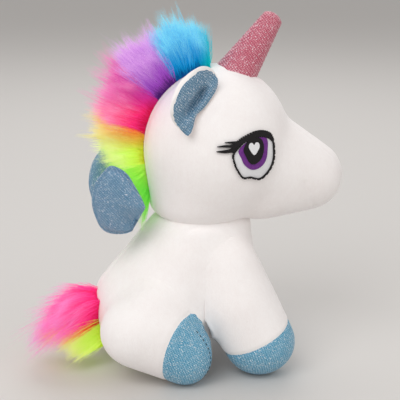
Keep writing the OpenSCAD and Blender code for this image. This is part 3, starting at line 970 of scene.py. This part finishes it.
def fur_material(name, root, middle, tip, other=None, other_from=0.0, other_to=1.0, other_axis="Z"):
    """Dyed pile, clear in the middle and nearly white at the tips. It is painted dark deep between the roots
    as shade in the pile, and glows a little with its own colour as a painted glow.
    """
    made, tree, skin = base_material(name)
    chart = node(tree, "ShaderNodeUVMap", uv_map="OFBake")
    split = node(tree, "ShaderNodeSeparateXYZ", {0: chart.outputs[0]})
    uneven = node(
        tree, "ShaderNodeMapRange",
        {"Value": split.outputs["X"], "From Min": 0.0, "From Max": 1.0, "To Min": -0.12, "To Max": 0.12},
    )
    along = node(
        tree, "ShaderNodeMath", {0: split.outputs["Y"], 1: uneven.outputs[0]}, operation="ADD",
        use_clamp=True
    )
    # Painted shade: the ramp starts dark at each strand's root, standing in for the shade deep between the
    # roots of the pile.
    ramp = node(tree, "ShaderNodeValToRGB", {0: along.outputs[0]})
    ramp.color_ramp.elements[0].position = 0.05
    ramp.color_ramp.elements[0].color = root
    ramp.color_ramp.elements[1].position = 1.0
    ramp.color_ramp.elements[1].color = tip
    ramp.color_ramp.elements.new(0.36).color = middle
    ramp.color_ramp.elements.new(0.62).color = [0.75 * a + 0.25 * b for a, b in zip(middle, tip)]
    color = ramp.outputs[0]
    if other:
        place = node(tree, "ShaderNodeTexCoord").outputs["Object"]
        axis = node(tree, "ShaderNodeSeparateXYZ", {0: place}).outputs[other_axis]
        share = node(
            tree, "ShaderNodeMapRange",
            {
                "Value": axis, "From Min": other_from * MM, "From Max": other_to * MM, "To Min": 0.0,
                "To Max": 1.0
            },
        )
        low = node(
            tree, "ShaderNodeMapRange",
            {"Value": along.outputs[0], "From Min": 0.35, "From Max": 0.95, "To Min": 1.0, "To Max": 0.25},
        )
        both = node(tree, "ShaderNodeMath", {0: share.outputs[0], 1: low.outputs[0]}, operation="MULTIPLY")
        color = node(
            tree, "ShaderNodeMix", {"Factor": both.outputs[0], 6: color, 7: other}, data_type="RGBA"
        ).outputs[2]
    tree.links.new(color, skin.inputs["Base Color"])
    # Painted glow: the fur emits a little of its own colour, standing in for light scattered through the
    # pile.
    tree.links.new(color, skin.inputs["Emission Color"])
    skin.inputs["Emission Strength"].default_value = 0.22
    skin.inputs["Roughness"].default_value = 0.55
    skin.inputs["Specular IOR Level"].default_value = 0.2
    return made


BLUE_FUR = fur_material(
    "blue_fur", (0.0, 0.10, 0.36, 1), (0.0, 0.42, 0.78, 1), (0.30, 0.78, 0.92, 1), (0.0, 0.62, 0.62, 1), 9,
    17, "X"
)
PURPLE_FUR = fur_material("purple_fur", (0.09, 0.015, 0.20, 1), (0.48, 0.10, 0.66, 1), (0.82, 0.50, 0.86, 1))
PINK_FUR = fur_material(
    "pink_fur", (0.78, 0.006, 0.10, 1), (0.98, 0.045, 0.30, 1), (0.96, 0.42, 0.62, 1),
    (0.62, 0.05, 0.50, 1), 152, 164
)
YELLOW_FUR = fur_material(
    "yellow_fur", (0.72, 0.80, 0.04, 1), (0.76, 0.98, 0.14, 1), (0.86, 0.98, 0.45, 1),
    (0.97, 0.20, 0.05, 1), 130, 143
)
GREEN_FUR = fur_material(
    "green_fur", (0.12, 0.62, 0.05, 1), (0.25, 0.86, 0.09, 1), (0.62, 0.95, 0.30, 1), (0.60, 0.95, 0.12, 1),
    106, 121
)


def crest(angle, off):
    """The place on the head's skin at an angle down the crest, off to one side of it."""
    t = math.radians(angle)
    way = Vector((math.cos(t), 0, math.sin(t)))
    start = Vector((CREST_CENTRE[0], 0, CREST_CENTRE[1])) + way * 90 + Vector((0, off, 0))
    hit, normal, _, _ = HEAD_SKIN.ray_cast(start, -way)
    return np.array(hit), np.array(normal)


bpy.ops.object.select_all(action="DESELECT")
bpy.ops.mesh.primitive_grid_add(x_subdivisions=40, y_subdivisions=8, size=2)
strip = bpy.context.object
strip.name = "mane_strip"
co = points(strip) * MM
laid = np.empty_like(co)
for i, (u, v, _) in enumerate(co):
    hit, normal = crest(154 + u * 59, v * MANE_HALF)
    laid[i] = hit + normal * 0.15
move_points(strip, laid)
modify(strip, "SOLIDIFY", thickness=0.9 * MM, offset=1, use_rim=True)
if directions(strip)[np.argmax(points(strip)[:, 2])][2] < 0:
    alone(strip)
    bpy.ops.object.mode_set(mode="EDIT")
    bpy.ops.mesh.select_all(action="SELECT")
    bpy.ops.mesh.normals_make_consistent(inside=False)
    bpy.ops.object.mode_set(mode="OBJECT")
BACKING = plush_material("fur_backing", (0.35, 0.12, 0.22, 1), (0.55, 0.25, 0.38, 1))
dress(strip, BACKING, "head", "backing", "mane_backing")

for color_name, material, start, stop in (
    ("blue", BLUE_FUR, 95, 121), ("purple", PURPLE_FUR, 121, 138.5), ("pink", PINK_FUR, 138.5, 166),
    ("yellow", YELLOW_FUR, 166, 189), ("green", GREEN_FUR, 189, 213),
):
    angles = chance.uniform(start, stop, MANE_COUNT) + chance.normal(0, 0.5, MANE_COUNT)
    angles = angles.clip(95, 213)
    offs = chance.uniform(-1, 1, MANE_COUNT)
    roots = np.array([crest(a, o * MANE_HALF)[0] for a, o in zip(angles, offs)])
    lean = np.radians(np.interp(angles, CREST_AT, CREST_WAY) + chance.normal(0, 6, MANE_COUNT))
    ways = np.column_stack([np.cos(lean), offs * 0.42 + chance.normal(0, 0.10, MANE_COUNT), np.sin(lean)])
    ways /= np.linalg.norm(ways, axis=1, keepdims=True)
    lengths = np.interp(angles, CREST_AT, CREST_LENGTH) * (1 - 0.22 * offs**2)
    lengths = lengths * (0.55 + 0.6 * chance.beta(2.0, 2.6, MANE_COUNT))
    bend = np.column_stack([-0.06 * lengths, 0 * lengths, -0.05 * lengths])
    pile = fur(f"mane_{color_name}_pile", roots, ways, lengths, bend, 34, 0.17)
    dress(pile, material, "head", f"{color_name}_fur", f"mane_{color_name}")

# ---- Front legs ----
# Each front leg is a white plush sleeve with a hoof of two blue glitter panels, sewn inside out, turned and
# stuffed. The sleeve is sewn to the shoulder and the panels meet in a seam under the hoof.
HOOF_CUT_F, HOOF_WAY_F = (42.3, 0, 24.0), (0.43, 0, -0.90)


def stitch_row(name, skin, middle, out_way):
    """Running stitches in dark thread beside the toe seam, each pulled a little into the cloth."""
    ahead = np.array((abs(out_way[1]), -out_way[0] * np.sign(out_way[1]), 0))
    path = []
    for turn in np.radians(np.arange(-52, 74, 1.0)):
        way = Vector(ahead * math.cos(turn) + np.array((0, 0, 1.0)) * math.sin(turn))
        hit, normal, _, _ = skin.ray_cast(Vector(middle + out_way * 1.3), way)
        path.append((np.array(hit), np.array(normal)))
    pieces, gone = [], 0.0
    for (here, normal), (after, _) in zip(path, path[1:]):
        gone += np.linalg.norm(after - here)
        if gone < 2.7:
            continue
        gone = 0.0
        bpy.ops.object.select_all(action="DESELECT")
        bpy.ops.mesh.primitive_uv_sphere_add(segments=10, ring_count=6, radius=1)
        stitch = bpy.context.object
        run = (after - here) / np.linalg.norm(after - here)
        side_way = np.cross(normal, run)
        co = points(stitch) * MM
        move_points(
            stitch, here + co[:, :1] * run * 0.95 + co[:, 1:2] * side_way * 0.3 + co[:, 2:] * normal * 0.3
        )
        pieces.append(stitch)
    bpy.ops.object.select_all(action="DESELECT")
    for stitch in pieces:
        stitch.select_set(True)
    bpy.context.view_layer.objects.active = pieces[0]
    bpy.ops.object.join()
    pieces[0].name = name
    bpy.ops.object.shade_smooth()
    return pieces[0]


def leg(prefix, end, side, lumps, cut, way, body_name, middle, hoof_material, lean=0.0, sewn=False):
    """A stuffed leg: its sleeve, the outer and inner panel of its hoof, and its stuffing."""
    form = stuffed_form(f"{prefix}_form_{end}", [on_side(lumps, side)], 2.0, 6)
    fit_to_toy(form, 0.12)
    press_flat(form)
    co = points(form)
    way_v = np.array(way) * (1, side, 1)
    way_v = way_v / np.linalg.norm(way_v)
    depth = (co - np.array(cut) * (1, side, 1)) @ way_v
    split = (abs(co[:, 1]) - middle - lean * (co[:, 0] - cut[0])) / math.hypot(1, lean)
    inflate(form, (abs(depth) < 1.3) | ((depth > 0) & (abs(split) < 1.3)) | (co[:, 2] < 1.5), most=0.8)
    modify(form, "SUBSURF", levels=1, render_levels=1)
    co = points(form)
    depth = (co - np.array(cut) * (1, side, 1)) @ way_v
    sink_seam(form, depth, deep=0.55, wide=1.0)
    split = (abs(co[:, 1]) - middle - lean * (co[:, 0] - cut[0])) / math.hypot(1, lean)
    sink_seam(form, np.where(depth > 0, split, 99), deep=0.5, wide=0.9)
    press_flat(form)
    out_way = np.array((-lean, side, 0)) / math.hypot(1, lean)
    at = (cut[0], side * middle, 0)
    cut_v = tuple(np.array(cut) * (1, side, 1))
    sleeve = panel(form, f"{prefix}_leg_skin_{end}", [(cut_v, tuple(-way_v))])
    outer = panel(
        form, f"{prefix}_hoof_outer_{end}", [(cut_v, tuple(way_v)), (at, tuple(out_way))], thick=LINING_T
    )
    inner = panel(
        form, f"{prefix}_hoof_inner_{end}", [(cut_v, tuple(way_v)), (at, tuple(-out_way))], thick=LINING_T
    )
    lump = filling(form, f"{prefix}_leg_stuffing_{end}", 2.2)
    if sewn:
        row = stitch_row(
            f"{prefix}_stitches_{end}", surface_of(form), np.array((-1.5, side * 39.5, 17.0)), out_way
        )
        dress(row, BLACK_THREAD, body_name, "black_thread")
    bpy.data.objects.remove(form)
    dress(sleeve, WHITE_PLUSH, body_name, "white_plush", f"{prefix}_leg_skin_{end}")
    dress(outer, hoof_material, body_name, "blue_glitter", f"{prefix}_hoof_outer_{end}")
    dress(inner, hoof_material, body_name, "blue_glitter", f"{prefix}_hoof_inner_{end}")
    dress(lump, FIBRE, body_name, "stuffing", f"{prefix}_leg_stuffing_{end}")
    return outer


HOOF_GLITTER = glitter_material(
    "hoof_glitter", (0.05, 0.28, 0.47, 1), (0.22, 0.56, 0.76, 1), (0.60, 0.80, 0.90, 1),
    (0.92, 0.96, 0.98, 1),
    turn=(0.3, 0.4, 0),
)
for end, side in SIDES:
    leg(
        "front", end, side,
        FRONT_LUMPS, HOOF_CUT_F, HOOF_WAY_F, f"front_leg_{end}", 28, HOOF_GLITTER,
    )

# ---- Hind legs ----
# Each hind leg is a short stuffed plush haunch that lies along the seat, with a teardrop hoof of two
# glitter panels.
HOOF_CUT_H, HOOF_WAY_H = (-9.5, 36, 3), (0.757, 0.60, -0.22)
for end, side in SIDES:
    leg(
        "hind", end, side,
        HIND_LUMPS, HOOF_CUT_H, HOOF_WAY_H, f"hind_leg_{end}", 37.5, HOOF_GLITTER, lean=0.25, sewn=True,
    )

# ---- Wings ----
# Each wing is two pieces of grey-blue glitter cloth sewn round the edge, turned, lightly padded and sewn to
# the back of the neck at its pinched lower corner. The edge seam shows as a groove near the rear.
WING_EDGE = [(-1.8, 19.6), (3, 18.3), (6.8, 15.4), (9.7, 10.3), (12.6, 4.6), (15.2, -1.2), (15.2, -3.5),
    (12.1, -9),
             (9, -14.6), (6.7, -18), (0.7, -19.4), (-5.3, -18.9), (-9.1, -16.1), (-11.6, -9.7), (-12.8, -3.4),
             (-12.4, 2.7), (-10, 9.9), (-6.2, 15.3)]
WING_MID, WING_HALF = (-37.1, 105.8), 5.6
WING_GLITTER = glitter_material(
    "wing_glitter", (0.05, 0.17, 0.32, 1), (0.20, 0.42, 0.60, 1), (0.52, 0.66, 0.80, 1),
    (0.85, 0.88, 0.95, 1),
    turn=(0, 0.7, 0),
)
for end, side in SIDES:
    wing = cushion(
        f"wing_form_{end}", [(x * 1.1 + WING_MID[0] + 1.2, z * 1.05 + WING_MID[1] - 1) for x, z in WING_EDGE],
        WING_MID, WING_HALF, square=3.0,
    )
    co = points(wing)
    corner = np.exp(-(((co[:, 0] + 25) / 9) ** 2 + ((co[:, 2] - 92) / 8) ** 2))
    co[:, 1] *= 1 - 0.75 * corner
    move_points(wing, co)
    # The rear panel rolls over the rear edge, so the seam lies a little way in on the outer face.
    seam_at, seam_way = (-25.0, 0.0, 105.0), np.array((0.13, 1.0, 0.0))
    sink_seam(wing, (points(wing) - seam_at) @ seam_way, deep=1.3, wide=0.9)
    outer = panel(wing, f"wing_outer_{end}", [(seam_at, tuple(seam_way))], thick=LINING_T)
    inner = panel(wing, f"wing_inner_{end}", [(seam_at, tuple(-seam_way))], thick=LINING_T)
    alone(wing)
    bpy.ops.object.duplicate()
    pad = bpy.context.object
    pad.name = f"wing_padding_{end}_fibre"
    co = points(pad)
    move_points(
        pad, (co - (WING_MID[0], 0, WING_MID[1])) * (0.88, 0.66, 0.88) + (WING_MID[0] - 1, 0,
        WING_MID[1] + 1)
    )
    bpy.data.objects.remove(wing)
    for piece, material, slot in (
        (outer, WING_GLITTER, "blue_glitter"), (inner, WING_GLITTER, "blue_glitter"), (pad, FIBRE, "stuffing")
    ):
        co = points(piece)
        # The wing leans back and out from its root at the lower front corner.
        turned = Matrix.Rotation(math.radians(22), 3, "Z") @ Matrix.Rotation(math.radians(-8), 3, "X")
        local = co - np.array((-25.0, 0, 93.0))
        co = local @ np.array(turned).T + np.array((-27.0, 26.0, 93.5))
        co[:, 1] *= side
        move_points(piece, co)
        if side < 0:
            turn_over(piece)
        dress(piece, material, f"wing_{end}", slot, piece.name.removesuffix("_fabric").removesuffix("_fibre"))

# ---- Tail ----
# The tail is a tuft of the same fur, pink above and yellow to green below, whose backing is sewn to the seat.
bpy.ops.object.select_all(action="DESELECT")
bpy.ops.mesh.primitive_uv_sphere_add(segments=32, ring_count=16, radius=1)
button = bpy.context.object
button.name = "tail_button"
move_points(button, points(button) * MM * np.array((4.5, 8.5, 13.5)) + np.array((-44.5, 0, 27)))
dress(button, BACKING, "tail", "backing", "tail_backing")
TAIL_COUNT = 6000
TAIL_PINK = fur_material("tail_pink_fur", (0.80, 0.01, 0.12, 1), (0.98, 0.05, 0.32, 1), (0.94, 0.36, 0.72, 1))
TAIL_ORANGE = fur_material(
    "tail_orange_fur", (0.55, 0.02, 0.02, 1), (0.90, 0.16, 0.05, 1), (0.97, 0.72, 0.30, 1)
)
TAIL_GREEN = fur_material(
    "tail_green_fur", (0.62, 0.80, 0.05, 1), (0.74, 0.94, 0.14, 1), (0.90, 0.94, 0.42, 1)
)
for color_name, material, low, high, rise, long, droop in (
    ("pink", TAIL_PINK, 31, 41, (-6, 16), (52, 34), 0.34),
    ("yellow", TAIL_ORANGE, 28, 31.5, (-12, -4), (36, 38), 0.22),
    ("green", TAIL_GREEN, 14, 30, (-16, -4), (24, 38), 0.16),
):
    count = TAIL_COUNT if color_name != "yellow" else TAIL_COUNT // 5
    height = chance.uniform(0, 1, count)
    offs = chance.uniform(-1, 1, count)
    roots = np.column_stack([np.full(count, -47.5), offs * 8.0, low + (high - low) * height])
    roots[:, 0] += (offs**2 + (abs(roots[:, 2] - 27) / 15) ** 2) * 2.0
    lean = np.radians(180 - (rise[0] + (rise[1] - rise[0]) * height) + chance.normal(0, 6, count))
    ways = np.column_stack([np.cos(lean), offs * 0.38 + chance.normal(0, 0.10, count), np.sin(lean)])
    ways /= np.linalg.norm(ways, axis=1, keepdims=True)
    lengths = (long[0] + (long[1] - long[0]) * height) * (0.42 + 0.62 * chance.beta(1.8, 2.2, count))
    bend = np.column_stack([0.05 * lengths, 0 * lengths, -droop * lengths])
    pile = fur(f"tail_{color_name}_pile", roots, ways, lengths, bend, 60, 0.17)
    co = points(pile)
    co[:, 2] = np.where(co[:, 2] < 1.5, 1.5 - 0.4 * (co[:, 2] - 1.5).clip(-4, 0) * 0.3, co[:, 2])
    move_points(pile, co)
    dress(pile, material, "tail", f"{color_name}_fur", f"tail_{color_name}")

bpy.data.objects.remove(head)
